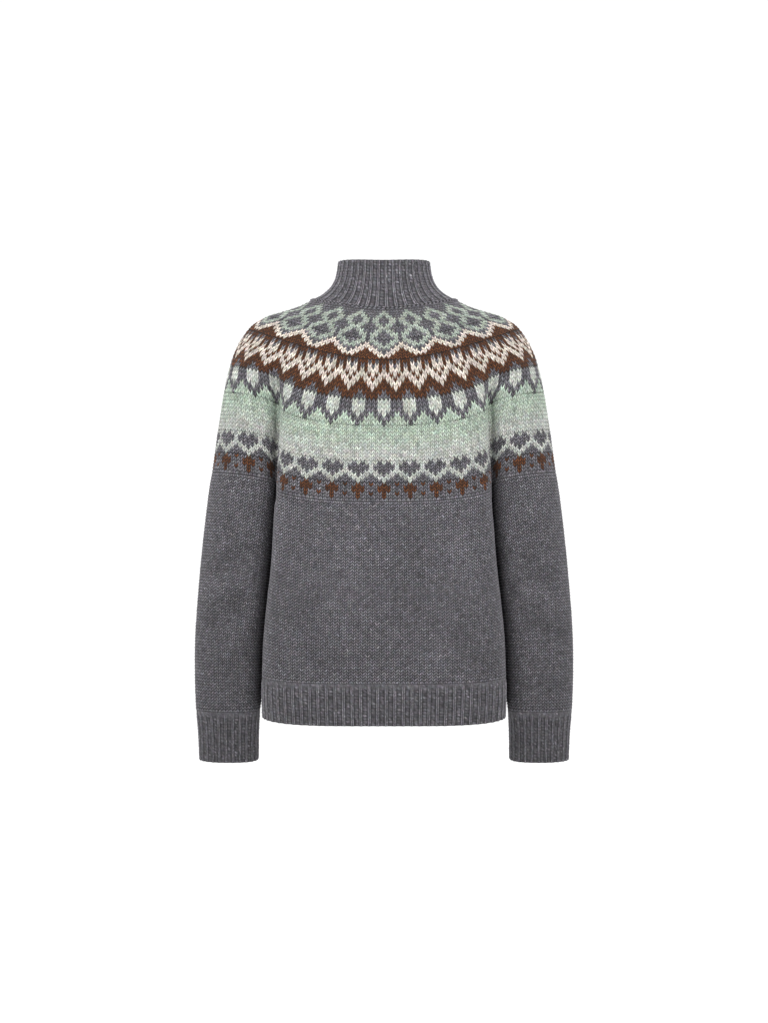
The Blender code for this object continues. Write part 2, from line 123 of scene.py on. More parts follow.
COLLAR_ROWS = (
    RingRow(0.00, 64.8, 57.5, 56.0, 52.5, 60.0, 50.0),
    RingRow(0.25, 67.0, 42.0, 55.5, 36.0, 60.5, 28.0),
    RingRow(0.50, 71.5, 28.0, 56.0, 19.0, 63.0, 5.0),
    RingRow(0.75, 81.0, 16.0, 58.0, 1.0, 68.0, -20.0),
    RingRow(0.90, 91.4, 8.5, 60.0, -9.0, 72.0, -35.5),
    RingRow(1.00, 103.0, 3.0, 62.0, -15.0, 75.0, -45.0),
)
YOKE_ROWS = (
    RingRow(0.00, 103.0, 3.0, 62.0, -15.0, 75.0, -45.0),
    RingRow(0.06, 119.0, -5.0, 74.3, -26.6, 84.3, -57.2),
    RingRow(0.14, 141.5, -12.8, 88.4, -44.0, 93.9, -75.0, 0.00, 90.0, 107.0, 142.5),
    RingRow(0.22, 166.6, -20.5, 98.4, -64.0, 100.7, -94.2, 0.00, 89.0, 105.0, 142.5),
    RingRow(0.29, 186.5, -32.3, 103.5, -83.0, 105.2, -111.5, 0.00, 87.0, 103.0, 142.5),
    RingRow(0.36, 200.5, -49.5, 106.6, -102.5, 108.2, -129.0, 0.08, 84.0, 100.0, 142.5),
    RingRow(0.44, 211.6, -71.2, 108.1, -125.0, 110.5, -149.3, 0.34, 78.0, 95.0, 142.5),
    RingRow(0.53, 219.7, -97.8, 109.0, -150.5, 111.8, -172.2, 0.76, 70.0, 87.0, 142.5),
    RingRow(0.63, 226.2, -128.0, 109.0, -178.7, 112.0, -197.7, 0.95, 61.0, 78.0, 143.0),
    RingRow(0.74, 232.0, -161.5, 108.9, -209.7, 111.7, -225.7, 0.99, 53.0, 70.0, 144.0),
    RingRow(0.85, 237.2, -195.0, 108.5, -240.7, 111.0, -253.8, 1.00, 47.0, 65.0, 146.2),
    RingRow(0.93, 240.5, -219.5, 108.3, -263.3, 110.5, -274.2, 1.00, 43.0, 62.8, 147.8),
    RingRow(1.00, 243.5, -241.0, 108.0, -283.0, 110.0, -292.0, 1.00, 41.0, 62.0, 148.8),
)
BODY_ROWS = (
    BodyRow(0.00, BODY_TOP_HALF_WIDTH, 108.0, 110.0, BODY_TOP_POWER),
    BodyRow(0.07, 149.0, 108.0, 110.5, 6.9),
    BodyRow(0.20, 151.8, 108.5, 111.0, 6.6),
    BodyRow(0.40, 156.0, 109.5, 111.5, 6.2),
    BodyRow(0.62, 162.8, 111.0, 112.0, 5.8),
    BodyRow(0.82, 168.0, 112.0, 112.0, 5.3),
    BodyRow(1.00, 170.0, 112.0, 112.0, 5.0),
)
HEM_ROWS = (
    BodyRow(0.00, 170.0, 112.0, 112.0, 5.0),
    BodyRow(0.50, 170.4, 111.6, 111.6, 4.8),
    BodyRow(1.00, 169.6, 110.6, 110.6, 4.6),
)
SLEEVE_ROWS = (
    SleeveRow(0.00, 243.5, SLEEVE_TOP_INNER_X, SLEEVE_TOP_DEPTH, SLEEVE_TOP_INNER_POWER),
    SleeveRow(0.05, 246.6, 150.4, 62.0, 4.0),
    SleeveRow(0.15, 251.2, 152.6, 61.0, 4.0),
    SleeveRow(0.30, 257.0, 157.4, 59.0, 3.9),
    SleeveRow(0.50, 263.3, 164.0, 56.0, 3.8),
    SleeveRow(0.70, 267.8, 170.2, 51.0, 3.6),
    SleeveRow(0.85, 268.2, 172.6, 47.0, 3.4),
    SleeveRow(0.95, 267.4, 174.4, 43.5, 3.2),
    SleeveRow(1.00, 266.6, 176.0, 40.0, 3.0),
)
CUFF_ROWS = (
    SleeveRow(0.00, 266.6, 176.0, 40.0, 3.0),
    SleeveRow(0.18, 265.0, 177.2, 38.0, 2.9),
    SleeveRow(1.00, 261.6, 178.6, 36.0, 2.8),
)


class Yarn(Enum):
    """The dyed yarns by their letter in the charts, in sRGB."""

    G = "#5a585d"  # heather grey, the ground of the whole garment
    B = "#4b2911"  # chestnut brown
    W = "#d7ccc1"  # undyed cream
    M = "#a4ada2"  # mint of the diamonds
    L = "#abb9aa"  # bright mint
    N = "#b0bbae"  # mint, a shade paler
    O = "#b4bbb2"  # mint, paler again
    P = "#b7bab4"  # mint that has paled to white
    S = "#c3c7bf"  # the shields' white


# One row of a chart gives the yarns outwards from the middle of a repeat, which is symmetric.
DIAMONDS = "MGGGG MMGGG GMMGG GGMMG GGMMG GMMGG MMGGG GMMGG GGMMG GGGMG".split()
PEAKS = "GGMMG GMMGW MMGWW GGWWB GWWBB WWBBB BBBBB".split()
ZIGZAG = "BGBB GWBG WWBW WBWW BWWB WWBB WBBB BBBG BBGG".split()
SHIELDS = "GGSS GGSS GGSS LGGS LLGG LLLG".split()
FADE = "LLLL LLLL LLLL NNNN NNNN OOOO OOOO PPPP PPPP PPPP".split()
HEARTS = "PGPP GGGP GGGP GGPP GPPG PPGG PGGG".split()
CROSSES = "BGGB BBGG BBGG BGGB BGGG".split()
PLAIN = ["GGGGG"]


def linear(code: str) -> np.ndarray:
    """Turn an sRGB hex colour to linear light.

    Args:
        code: The colour as #rrggbb.

    Returns:
        Its red, green and blue, from 0 to 1.
    """
    part = np.array([int(code[k : k + 2], 16) for k in (1, 3, 5)]) / 255
    return np.where(part <= 0.04045, part / 12.92, ((part + 0.055) / 1.055) ** 2.4)


def add(tree: bpy.types.NodeTree, kind: str, inputs: dict | None = None, **settings) -> bpy.types.Node:
    """Add a shader node with its settings, values and links.

    Args:
        tree: The node tree that it goes in.
        kind: The node's type, without the ShaderNode that it starts with.
        inputs: Values for its sockets, or the output sockets that feed them.
        **settings: The node's own properties.

    Returns:
        The new node.
    """
    node = tree.nodes.new(f"ShaderNode{kind}")
    for name, value in settings.items():
        setattr(node, name, value)
    for socket, value in (inputs or {}).items():
        if isinstance(value, bpy.types.NodeSocket):
            tree.links.new(value, node.inputs[socket])
        else:
            node.inputs[socket].default_value = value
    return node


@dataclass(frozen=True)
class Wool:
    """Matt wool, in the colour that each face holds for its yarn, with painted shade in it."""

    name: str
    roughness: float = 0.95
    ior: float = 1.54  # keratin

    def surface(self, put: Callable, place: bpy.types.NodeSocket, yarn: bpy.types.NodeSocket) -> dict:
        """Work out what the shader's sockets take.

        Args:
            put: Adds a node to the material's tree.
            place: The place on the object.
            yarn: The yarn's colour, with its painted shade.

        Returns:
            Values or sockets by the name of the shader's input.
        """
        raise NotImplementedError

    def material(self) -> bpy.types.Material:
        """Make the finish as a node material."""
        made = bpy.data.materials.new(self.name)
        made.use_nodes = True
        made.node_tree.nodes.clear()
        put = partial(add, made.node_tree)
        place = put("TexCoord").outputs["Object"]
        # the yarn attribute holds each yarn's colour with the painted shade of the stitches
        yarn = put("Attribute", attribute_name="yarn").outputs["Color"]
        inputs = {"Roughness": self.roughness, "IOR": self.ior, **self.surface(put, place, yarn)}
        put("OutputMaterial", {"Surface": put("BsdfPrincipled", inputs).outputs["BSDF"]})
        return made


@dataclass(frozen=True)
class WoolKnit(Wool):
    """Woollen-spun yarn, knitted and lightly brushed.

    Its short crimped fibres lie every way, so it is matt, its colour is mottled fibre by fibre,
    and the fuzz on it catches light at the edges.
    """

    mottle: float = 0.3  # how far tufts of fibres stand off from the yarn's colour
    fibre_mm: float = 2.6  # a tuft of fibres; one fibre is too fine to show
    patch: float = 0.05  # uneven dye and blending along the yarn
    patch_mm: float = 22.0
    tint: float = 0.3  # warm and cool fibres, blended before spinning
    tint_mm: float = 5.0
    fuzz: float = 0.5
    fuzz_mm: float = 0.5
    sheen: float = 0.04
    noise_ends: tuple[float, float] = (0.3, 0.7)  # between these lies nearly all of a noise

    def surface(self, put: Callable, place: bpy.types.NodeSocket, yarn: bpy.types.NodeSocket) -> dict:
        """Mottle the yarn's colour and raise its fuzz.

        Args:
            put: Adds a node to the material's tree.
            place: The place on the object.
            yarn: The yarn's colour, with its painted shade.

        Returns:
            Values or sockets by the name of the shader's input.
        """
        noise = {"Vector": place, "Detail": 2.0}
        tufts = put(
            "TexNoise",
            {"Vector": place, "Scale": 1 / (self.fibre_mm * MM), "Detail": 3.0, "Roughness": 0.7},
        ).outputs["Fac"]
        patches = put("TexNoise", {**noise, "Scale": 1 / (self.patch_mm * MM)}).outputs["Fac"]
        blend = put("TexNoise", {**noise, "Scale": 1 / (self.tint_mm * MM)}).outputs["Color"]
        low, high = self.noise_ends
        fibre_tone, patch_tone = (
            put(
                "MapRange",
                {"Value": fac, "From Min": low, "From Max": high, "To Min": 1 - far, "To Max": 1 + far},
            ).outputs["Result"]
            for fac, far in ((tufts, self.mottle), (patches, self.patch))
        )
        tone = put("Math", {0: fibre_tone, 1: patch_tone}, operation="MULTIPLY").outputs[0]
        tint = put(
            "VectorMath",
            {0: blend, 1: [self.tint] * 3, 2: [1 - self.tint / 2] * 3},
            operation="MULTIPLY_ADD",
        ).outputs["Vector"]
        toned = put("VectorMath", {"Vector": yarn, "Scale": tone}, operation="SCALE").outputs["Vector"]
        colour = put("VectorMath", {0: toned, 1: tint}, operation="MULTIPLY").outputs["Vector"]
        fuzz = put("Bump", {"Height": tufts, "Strength": self.fuzz, "Distance": self.fuzz_mm * MM})
        return {
            "Base Color": colour,
            "Normal": fuzz.outputs["Normal"],
            "Sheen Weight": self.sheen,
            "Sheen Roughness": 0.6,
        }


@dataclass(frozen=True)
class PurlSide(Wool):
    """The wrong side of the knitting, where rows of purl bumps cross the cloth."""

    row_mm: float = 4.4
    row_scale: float = 2 * math.pi / 20  # a wave texture's scale for bands one unit apart
    bump_mm: float = 1.5
    painted_hollow_shade: float = 0.62  # painted shade between the bumps

    def surface(self, put: Callable, place: bpy.types.NodeSocket, yarn: bpy.types.NodeSocket) -> dict:
        """Lay rows of bumps across the cloth, with painted shade between them.

        Args:
            put: Adds a node to the material's tree.
            place: The place on the object.
            yarn: The yarn's colour, with its painted shade.

        Returns:
            Sockets by the name of the shader's input.
        """
        bumps = put(
            "TexWave",
            {
                "Vector": place,
                "Scale": self.row_scale / (self.row_mm * MM),
                "Distortion": 2.5,
                "Detail": 1.0,
                "Detail Scale": 6.0,
            },
            bands_direction="Z",
        ).outputs["Fac"]
        # painted shade between the bumps
        tone = put("MapRange", {"Value": bumps, "To Min": self.painted_hollow_shade}).outputs["Result"]
        colour = put("VectorMath", {"Vector": yarn, "Scale": tone}, operation="SCALE").outputs["Vector"]
        relief = put("Bump", {"Height": bumps, "Strength": 0.8, "Distance": self.bump_mm * MM})
        return {"Base Color": colour, "Normal": relief.outputs["Normal"]}


def read_row(rows: tuple, share: float) -> NamedTuple:
    """Read a table at a share of the way down, on a smooth curve through its rows.

    Args:
        rows: The table.
        share: From 0 at the top to 1 at the bottom.

    Returns:
        A row of the same kind.
    """
    table = np.array(rows)
    stops = table[:, 0]
    slopes = np.gradient(table, stops, axis=0)
    k = int(np.clip(np.searchsorted(stops, share, side="right") - 1, 0, len(rows) - 2))
    step = stops[k + 1] - stops[k]
    t = (share - stops[k]) / step
    bend = 2 * t**3 - 3 * t**2
    values = (
        (bend + 1) * table[k]
        - bend * table[k + 1]
        + (t**3 - 2 * t**2 + t) * step * slopes[k]
        + (t**3 - t**2) * step * slopes[k + 1]
    )
    return type(rows[0])(*values)


def superellipse(half_x: float, half_y: float, power: float) -> np.ndarray:
    """Draw a quarter section, from the middle to the side.

    Args:
        half_x: Half its width.
        half_y: Half its depth.
        power: How square it is; 2 gives an ellipse.

    Returns:
        Points from (0, half_y) to (half_x, 0).
    """
    angle = np.linspace(0.0, np.pi / 2, DENSE)
    x = half_x * np.sin(angle) ** (2 / power)
    y = half_y * np.cos(angle) ** (2 / power)
    return np.stack((x, np.maximum(y, 0.0)), axis=1)


def lengths(line: np.ndarray) -> np.ndarray:
    """Measure the distance gone at each point of a line."""
    steps = np.linalg.norm(np.diff(line, axis=0), axis=1)
    return np.concatenate(([0.0], np.cumsum(steps)))


def at_lengths(line: np.ndarray, wanted: np.ndarray) -> np.ndarray:
    """Find the points at the wanted distances along a line."""
    gone = lengths(line)
    return np.stack([np.interp(wanted, gone, line[:, k]) for k in range(line.shape[1])], axis=1)


def at_shares(line: np.ndarray, shares: np.ndarray) -> np.ndarray:
    """Find the points at shares of a line's whole length."""
    return at_lengths(line, shares * lengths(line)[-1])


def length_at_depth(line: np.ndarray, depth: float) -> float:
    """Find the distance along a falling section at which it has this depth."""
    return float(np.interp(-depth, -line[:, 1], lengths(line)))


def sleeve_half(row: SleeveRow) -> np.ndarray:
    """Draw half a sleeve's section.

    Args:
        row: The level.

    Returns:
        Points (x, depth), from its outer side over its face to its inner side.
    """
    middle, reach = (row.outer_x + row.inner_x) / 2, (row.outer_x - row.inner_x) / 2
    outer = superellipse(reach, row.depth, SLEEVE_OUTER_POWER)[::-1]
    inner = superellipse(reach, row.depth, row.inner_power)[1:]
    return np.concatenate(
        (
            np.stack((middle + outer[:, 0], outer[:, 1]), axis=1),
            np.stack((middle - inner[:, 0], inner[:, 1]), axis=1),
        )
    )


def sleeve_length_to_fold(line: np.ndarray, depth: float) -> float:
    """Find the distance along a sleeve's half section to this depth on its inner side."""
    top = int(np.argmax(line[:, 1]))
    return lengths(line)[top] + length_at_depth(line[top:], depth)


def folded_quarter(row: RingRow, depth: float, shares: np.ndarray) -> np.ndarray:
    """Draw a quarter ring whose body and sleeve meet at the bottom of a fold.

    Args:
        row: The level.
        depth: How far its middle stands from the garment's centre.
        shares: Places on it, from 0 at the middle to 1 at the side.

    Returns:
        Points (x, depth).
    """
    body = superellipse(row.fold_x, depth, BODY_TOP_POWER)
    body_end = length_at_depth(body, row.valley_y)
    sleeve = sleeve_half(
        SleeveRow(0.0, row.side_x, row.fold_x + FOLD_GAP, row.sleeve_y, SLEEVE_TOP_INNER_POWER)
    )
    sleeve_end = sleeve_length_to_fold(sleeve, row.valley_y)
    line = np.concatenate(
        (
            at_lengths(body, np.linspace(0.0, body_end, DENSE)),
            at_lengths(sleeve, np.linspace(sleeve_end, 0.0, DENSE)),
        )
    )
    gone = lengths(line)
    ends = (0.0, gone[DENSE - 1], gone[DENSE], gone[-1])
    return at_lengths(line, np.interp(shares, (0.0, BODY_EDGE, SLEEVE_EDGE, 1.0), ends))


def ring_quarter(row: RingRow, front: bool, shares: np.ndarray) -> np.ndarray:
    """Draw a quarter of a collar or yoke ring.

    Args:
        row: The level.
        front: Whether it is on the front.
        shares: Places on it, from 0 at the middle to 1 at the side.

    Returns:
        Points (x, depth, z).
    """
    depth = row.front_y if front else row.back_y
    middle_z = row.front_z if front else row.back_z
    plan = at_shares(superellipse(row.side_x, depth, OPEN_POWER), shares)
    rise = np.minimum(plan[:, 0] / row.side_x, 1.0) ** OPEN_RISE_POWER
    if row.crease > 0:
        plan = (1 - row.crease) * plan + row.crease * folded_quarter(row, depth, shares)
        near = shares**FOLD_RISE_POWER
        far = FOLD_RISE_BALANCE * (1 - shares) ** FOLD_RISE_POWER
        rise = (1 - row.crease) * rise + row.crease * near / (near + far)
    return np.column_stack((plan, middle_z + (row.side_z - middle_z) * rise))


def top_edge_z(front: bool, met: np.ndarray, shares: np.ndarray, fold: float) -> np.ndarray:
    """Give the level of a top edge that follows the yoke to the fold, then the underarm.

    Args:
        front: Whether it is on the front.
        met: The yoke's own shares that the edge's points meet.
        shares: The places of those points on their own piece.
        fold: The place of the fold among them.

    Returns:
        A level for each point.
    """
    on_yoke = ring_quarter(YOKE_ROWS[-1], front, met)[:, 2]
    fold_z = np.interp(fold, shares, on_yoke)
    under = fold_z + (UNDERARM_Z - fold_z) * np.clip((shares - fold) / (1 - fold), 0.0, 1.0)
    return np.where(shares < fold, on_yoke, under)


@dataclass(frozen=True)
class Crease:
    """A soft hollow or roll in the hanging cloth.

    Its ends are (x, z) in millimetres, and it lies on the back or the front.
    """

    start: tuple[float, float]
    end: tuple[float, float]
    width: float
    height: float  # below 0 for a hollow
    side: int = -1  # 1 on the front
    fade: float = 25.0  # depth at which it has its full height, from none at the sides

    def lift(self, points: np.ndarray) -> np.ndarray:
        """Tell how far it lifts points from the surface.

        Args:
            points: The points, in any number of rows.

        Returns:
            A height for each, below 0 in a hollow.
        """
        start, along = np.array(self.start), np.array(self.end) - np.array(self.start)
        flat = points[..., (0, 2)] - start
        t = np.clip(flat @ along / (along @ along), 0.0, 1.0)
        away = np.linalg.norm(flat - t[..., None] * along, axis=-1)
        facing = np.clip(points[..., 1] * self.side / self.fade, 0.0, 1.0)
        return self.height * np.exp(-((away / self.width) ** 2)) * facing


HOLLOW_SHADE = 0.05  # painted light gained on a roll and painted shade in a hollow, for each millimetre
# As the back shows them, with others like them where the garment can't be seen
BACK_CREASES = (
    Crease((104, -458), (140, -508), 15, -4.1),
    Crease((-144, -290), (-143, -372), 9, 2.7),
    Crease((62, -500), (94, -474), 20, 2.5),
    Crease((-112, -424), (-82, -498), 19, -2.9),
    Crease((-40, -352), (-66, -462), 26, 2.2),
    Crease((26, -336), (42, -436), 24, -2.0),
    Crease((98, -326), (122, -402), 17, 2.5),
)
FRONT_CREASES = (
    Crease((-98, -450), (-136, -500), 16, -3.6, side=1),
    Crease((143, -296), (144, -360), 9, 2.4, side=1),
    Crease((112, -432), (86, -502), 21, -3.1, side=1),
    Crease((44, -346), (58, -470), 25, 2.4, side=1),
    Crease((-22, -352), (-46, -424), 22, -2.2, side=1),
    Crease((-90, -330), (-118, -410), 18, 2.0, side=1),
)
LEFT_SLEEVE_CREASES = (
    Crease((-192, -350), (-224, -372), 13, -3.9),
    Crease((-212, -392), (-238, -402), 12, 2.5),
    Crease((-204, -424), (-242, -448), 13, -4.2),
    Crease((-190, -500), (-216, -518), 15, -2.4),
    Crease((-196, -362), (-230, -392), 14, -3.6, side=1),
    Crease((-206, -446), (-238, -460), 15, -3.4, side=1),
    Crease((-186, -322), (-204, -330), 12, 2.2, side=1),
)
RIGHT_SLEEVE_CREASES = (
    Crease((190, -364), (228, -392), 14, -3.6),
    Crease((208, -408), (240, -418), 12, 2.4),
    Crease((200, -446), (240, -466), 14, -3.7),
    Crease((186, -318), (206, -326), 12, -2.0),
    Crease((194, -348), (222, -366), 13, -3.7, side=1),
    Crease((204, -430), (242, -456), 14, -4.1, side=1),
    Crease((192, -506), (214, -520), 14, 2.2, side=1),
)


def grid_normals(grid: np.ndarray, closed: bool) -> np.ndarray:
    """Find the outward normal at each point of rows that run anticlockwise, top row first.

    Args:
        grid: The rows of points.
        closed: Whether each row closes on itself.

    Returns:
        A unit vector for each point.
    """
    if closed:
        across = np.roll(grid, -1, axis=1) - np.roll(grid, 1, axis=1)
    else:
        across = np.gradient(grid, axis=1)
    out = np.cross(np.gradient(grid, axis=0), across)
    return out / np.maximum(np.linalg.norm(out, axis=2, keepdims=True), TINY)


@dataclass
class Surface:
    """A smooth stretch of a piece: points and normals at even levels and given columns."""

    top: float
    bottom: float
    points: np.ndarray
    normals: np.ndarray

    def at(self, levels: np.ndarray) -> tuple[np.ndarray, np.ndarray]:
        """Read points and normals at levels, given for each row and column.

        Args:
            levels: Shares of the way down the piece, rows by columns.

        Returns:
            The points and the normals there.
        """
        last = len(self.points) - 1
        place = (levels - self.top) / (self.bottom - self.top) * last
        low = np.clip(np.floor(place).astype(int), 0, last - 1)
        part = (place - low)[..., None]
        columns = np.arange(self.points.shape[1])[None, :]
        points, normals = (
            grid[low, columns] * (1 - part) + grid[low + 1, columns] * part
            for grid in (self.points, self.normals)
        )
        return points, normals


class Rows(NamedTuple):
    """Knitted rows of points, or one of them: indices, places along the piece and colours."""

    index: np.ndarray
    places: np.ndarray
    colours: np.ndarray

    def row(self, line: int) -> "Rows":
        """Take one row."""
        return Rows(self.index[line], self.places, self.colours[line])


def show(name: str, data: bpy.types.ID) -> bpy.types.Object:
    """Make an object of a mesh, light or camera, and link it to the scene."""
    made = bpy.data.objects.new(name, data)
    bpy.context.scene.collection.objects.link(made)
    return made


@dataclass
class KnitMesh:
    """A mesh while it is put together, with a yarn colour for each face and a painted shade for each
    point.
    """

    points: list[np.ndarray] = field(default_factory=list)
    # painted shade of each point, a factor on its colour
    shades: list[np.ndarray] = field(default_factory=list)
    quads: list[np.ndarray] = field(default_factory=list)
    quad_colours: list[np.ndarray] = field(default_factory=list)
    quad_sides: list[np.ndarray] = field(default_factory=list)
    triangles: list[tuple[int, int, int]] = field(default_factory=list)
    triangle_colours: list[np.ndarray] = field(default_factory=list)
    count: int = 0
    depth: tuple[float, float] = (1.0, 1.0)  # power and gain of the painted shade in dark yarn
    dark: float = 0.2  # a yarn is dark if its mean colour is below this

    def add_points(self, grid: np.ndarray, shade: np.ndarray | float = 1.0) -> np.ndarray:
        """Add rows of points, each with the painted shade on it.

        Args:
            grid: The points, rows by columns.
            shade: The painted shade, a factor on the colour at each.

        Returns:
            Their indices, in the same rows.
        """
        rows, columns = grid.shape[:2]
        self.points.append(grid.reshape(-1, 3))
        self.shades.append(np.broadcast_to(shade, (rows, columns)).reshape(-1))
        index = self.count + np.arange(rows * columns).reshape(rows, columns)
        self.count += rows * columns
        return index

    def add_quads(self, index: np.ndarray, closed: bool, colours: np.ndarray, inside: bool) -> None:
        """Join rows of points with quads.

        Args:
            index: The rows of points.
            closed: Whether each row closes on itself.
            colours: One colour for each quad, rows by columns.
            inside: Whether they are the wrong side of the cloth.
        """
        after = np.roll(index, -1, axis=1) if closed else index[:, 1:]
        here = index if closed else index[:, :-1]
        corners = [here[:-1], here[1:], after[1:], after[:-1]]
        if inside:
            corners.reverse()
        faces = np.stack(corners, axis=-1).reshape(-1, 4)
        self.quads.append(faces)
        self.quad_colours.append(np.broadcast_to(colours, (*here[:-1].shape, 3)).reshape(-1, 3))
        self.quad_sides.append(np.full(len(faces), int(inside)))

    def join(self, upper: Rows, lower: Rows, closed: bool) -> None:
        """Join two edges that have different counts of points with triangles.

        Args:
            upper: The one edge, with a colour for each step along it.
            lower: The other, below it where the face looks outwards.
            closed: Whether the edges are rings.
        """
        edges, stops = [list(upper.index), list(lower.index)], [list(upper.places), list(lower.places)]
        colours = (upper.colours, lower.colours)
        if closed:
            for edge, stop in zip(edges, stops):
                edge.append(edge[0])
                stop.append(stop[0] + 1.0)
        at = [0, 0]
        while at[0] < len(edges[0]) - 1 or at[1] < len(edges[1]) - 1:
            done = [at[k] == len(edges[k]) - 1 for k in (0, 1)]
            k = 1 if done[0] or (not done[1] and stops[1][at[1] + 1] <= stops[0][at[0] + 1]) else 0
            tip = edges[k][at[k] + 1]
            self.triangles.append((edges[0][at[0]], edges[1][at[1]], tip))
            self.triangle_colours.append(colours[k][min(at[k], len(colours[k]) - 1)])
            at[k] += 1

    def make(self, name: str, finishes: tuple) -> bpy.types.Object:
        """Make the object.

        Args:
            name: The piece's name.
            finishes: The finishes of its right and wrong sides.

        Returns:
            The object, at the origin.
        """
        quads = np.concatenate(self.quads)
        triangles = np.array(self.triangles, dtype=int).reshape(-1, 3)
        points = np.concatenate(self.points) * MM
        mesh = bpy.data.meshes.new(name)
        mesh.from_pydata(points.tolist(), [], quads.tolist() + triangles.tolist())
        quad_colours = np.repeat(np.concatenate(self.quad_colours), 4, axis=0)
        triangle_colours = np.repeat(np.array(self.triangle_colours).reshape(-1, 3), 3, axis=0)
        colours = np.concatenate((quad_colours, triangle_colours))
        corners = np.concatenate((quads.reshape(-1), triangles.reshape(-1)))
        # painted shade on each corner, deeper in dark yarn
        light = np.concatenate(self.shades)[corners, None]
        is_dark = colours.mean(axis=1, keepdims=True) < self.dark
        seen = np.ones((len(corners), 4))
        seen[:, :3] = colours * np.where(is_dark, self.depth[1] * light ** self.depth[0], light)
        # the yarn attribute holds each yarn's colour times its painted shade
        yarn = mesh.color_attributes.new("yarn", "FLOAT_COLOR", "CORNER")
        yarn.data.foreach_set("color", seen.astype(np.float32).reshape(-1))
        for finish in finishes:
            mesh.materials.append(finish)
        sides = np.concatenate((*self.quad_sides, np.zeros(len(triangles), dtype=int)))
        mesh.polygons.foreach_set("material_index", sides)
        mesh.shade_smooth()
        mesh.update()
        return show(name, mesh)


@dataclass(frozen=True)
class Band:
    """Rounds of knitting that share a count of stitches and a chart.

    top and bottom are shares of the way down the piece.
    """

    stitches: int
    top: float
    bottom: float
    chart: list[str]
    repeat: int = 6  # stitches after which the chart starts again
    first: int = 0  # the chart's column at the middle of the piece

    def colours(self, dice: np.random.Generator, spread: float) -> np.ndarray:
        """Give every stitch its yarn's colour, none quite like the next.

        Args:
            dice: The seeded source of the small differences.
            spread: How large they are.

        Returns:
            Linear colours, rounds by stitches.
        """
        column = (np.arange(self.stitches) + self.first) % self.repeat
        column = np.minimum(column, self.repeat - column)
        table = [[linear(Yarn[row[c]].value) for c in column] for row in self.chart]
        return np.array(table) * dice.normal(1.0, spread, (len(self.chart), self.stitches, 1))


@dataclass(frozen=True)
class Stitch:
    """The relief of plain knitting over its solid's surface, in millimetres.

    A stitch is a V of two legs. Across it lie the gap to its neighbour, a leg, the hole between
    the legs and the other leg. Each has a height and a share of light halfway down, where the
    legs are full, and at the neck, where the next stitch lies over them. The light is painted:
    painted shade in the gap and the hole, painted highlight on the legs.
    """

    full: tuple[float, float, float, float] = (-1.3, 0.2, -1.9, 0.2)
    neck: tuple[float, float, float, float] = (-1.2, -0.4, -0.5, -0.4)
    # painted shade and painted highlight at each place across the stitch, where legs are full and at the
    # neck
    full_shade: tuple[float, float, float, float] = (0.95, 1.3, 0.55, 1.3)
    neck_shade: tuple[float, float, float, float] = (0.3, 0.6, 0.45, 0.6)
    edge_shade: float = 0.65  # painted shade where two pieces are grafted together
    edge: float = -0.4  # and how high they lie there
    slant: float = 1.0  # how far a leg's foot lies below its head, in rows
    ruffle: float = 0.12  # how unevenly the yarn lies
    heather: float = 0.12  # how unevenly light and dark fibres come to the surface


# Plain grey, with deeper painted shade and brighter painted highlight than the yoke's stitches
PLAIN_GREY = Stitch(
    full_shade=(1.0, 2.3, 0.75, 2.3),
    neck_shade=(0.05, 0.25, 0.08, 0.25),
    edge_shade=0.5,
    heather=0.22,
)


def by_line(full: np.ndarray, at_full: tuple, at_neck: tuple, phase: np.ndarray) -> np.ndarray:
    """Choose each point's value by its line and its place across the stitch.

    Args:
        full: Whether each line lies where legs are full.
        at_full: The values on those lines, by place.
        at_neck: The values on the others.
        phase: The place of each column.

    Returns:
        A value for each line and column.
    """
    return np.where(full, np.array(at_full)[phase], np.array(at_neck)[phase])


